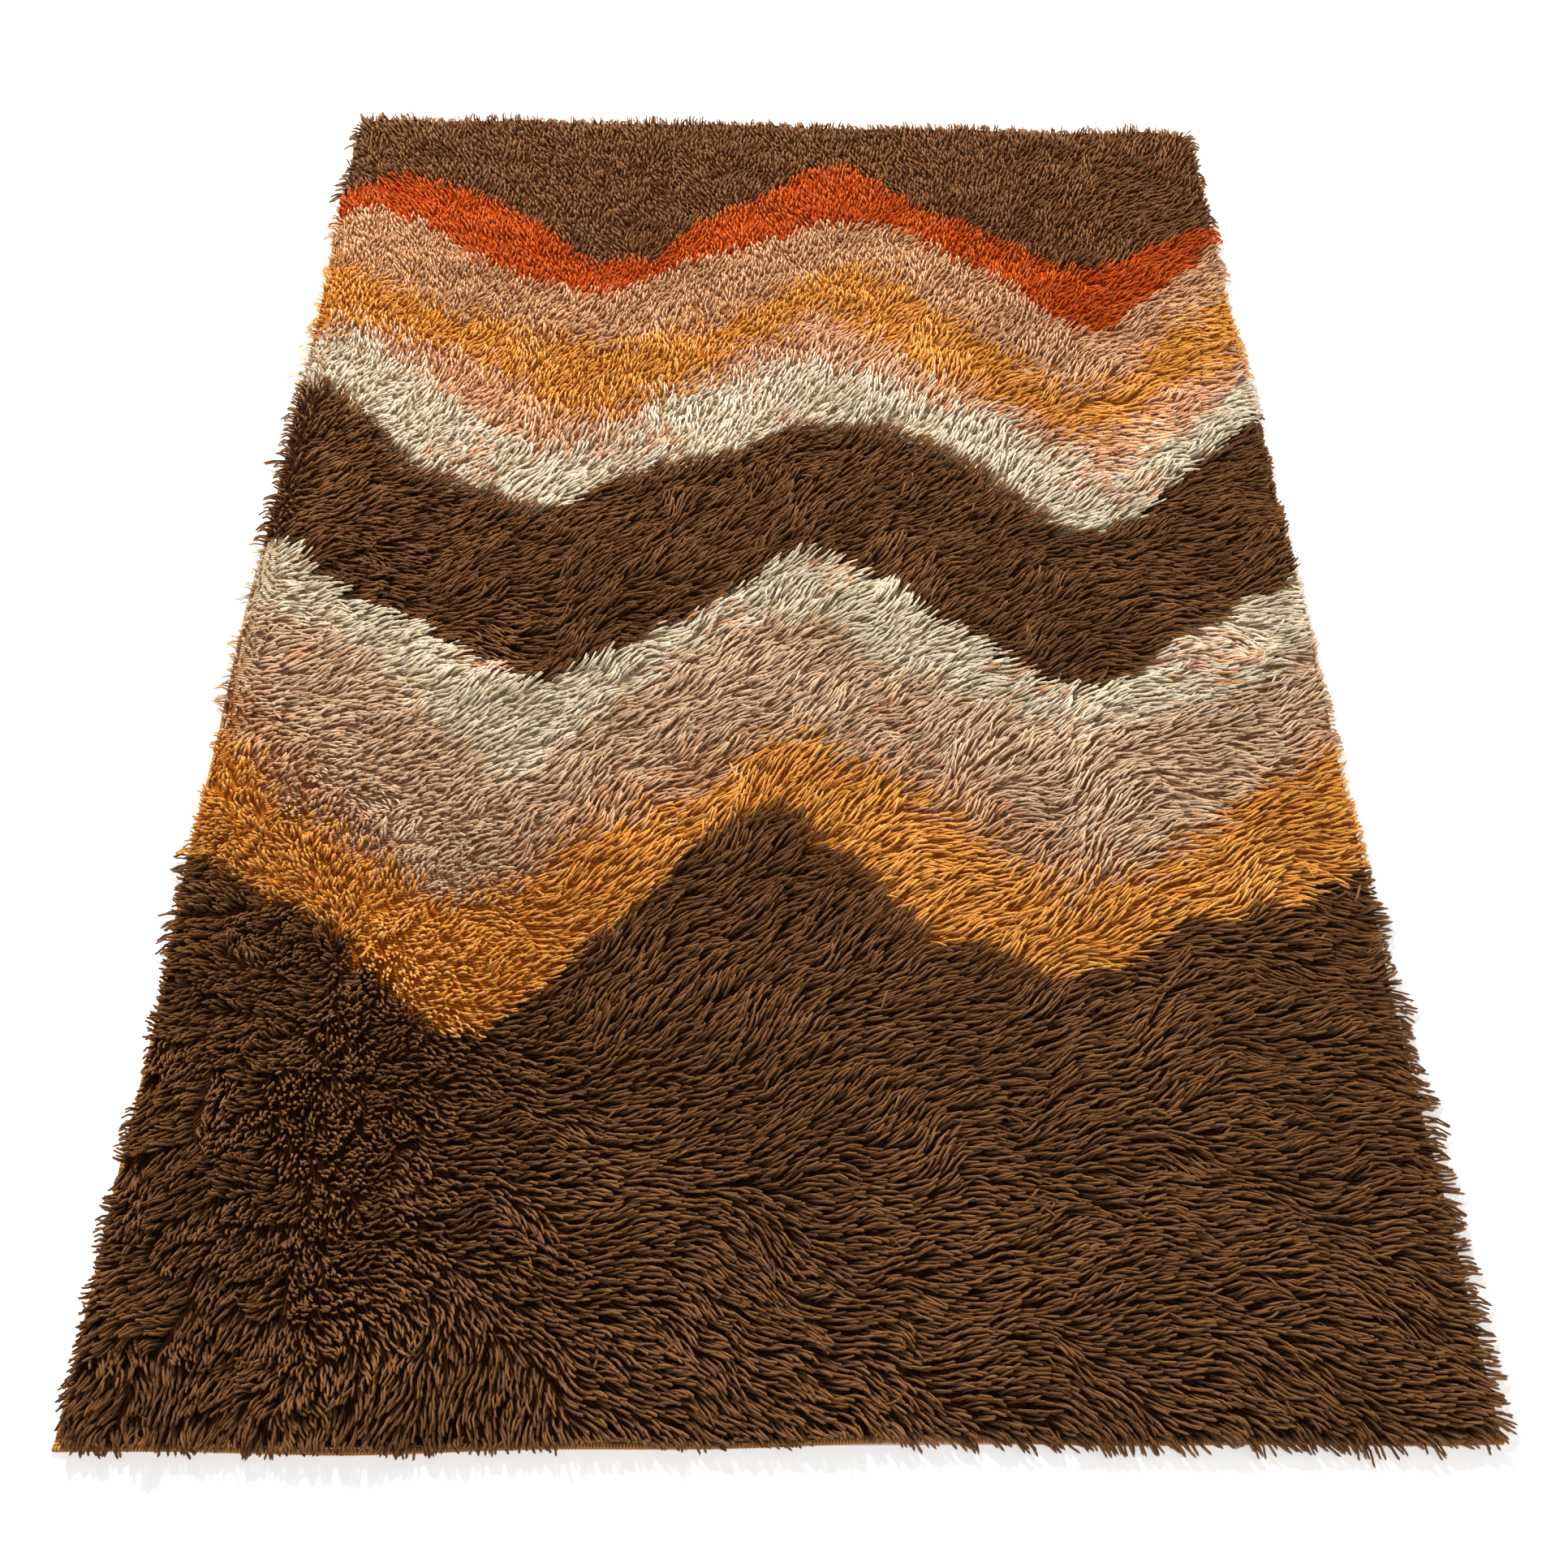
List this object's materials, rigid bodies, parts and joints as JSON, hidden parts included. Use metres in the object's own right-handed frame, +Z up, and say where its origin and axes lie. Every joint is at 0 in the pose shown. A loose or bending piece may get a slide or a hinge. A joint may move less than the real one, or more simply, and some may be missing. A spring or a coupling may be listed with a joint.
{
  "type": "wool shag rug",
  "caption": "Rectangular long-pile wool rug lying flat: woven ground cloth, overcast edges on all four sides and a deep shag pile whose locks fan out over the edge.",
  "frame": {"origin": "middle of the underside of the ground cloth, on the floor", "axes": "+Z up from the floor through the pile; +Y along the rug from its near end to its far end; +X across it to the right"},
  "size_m": [1.6644, 2.3637, 0.0368],
  "materials": {
    "pile_wool": "matte long wool pile, dark brown ground with amber, rust, tan, peach and cream yarns",
    "edge_yarn": "matte ribbed overcast wool yarn, golden tan",
    "ground_weave": "coarse flat weave of flax and jute"
  },
  "bodies": {
    "root": {"ground_cloth": "ground_weave", "overcast_edge_left": "edge_yarn", "overcast_edge_right": "edge_yarn", "overcast_edge_near": "edge_yarn", "overcast_edge_far": "edge_yarn", "shag_pile": "pile_wool"}
  },
  "joints": []
}
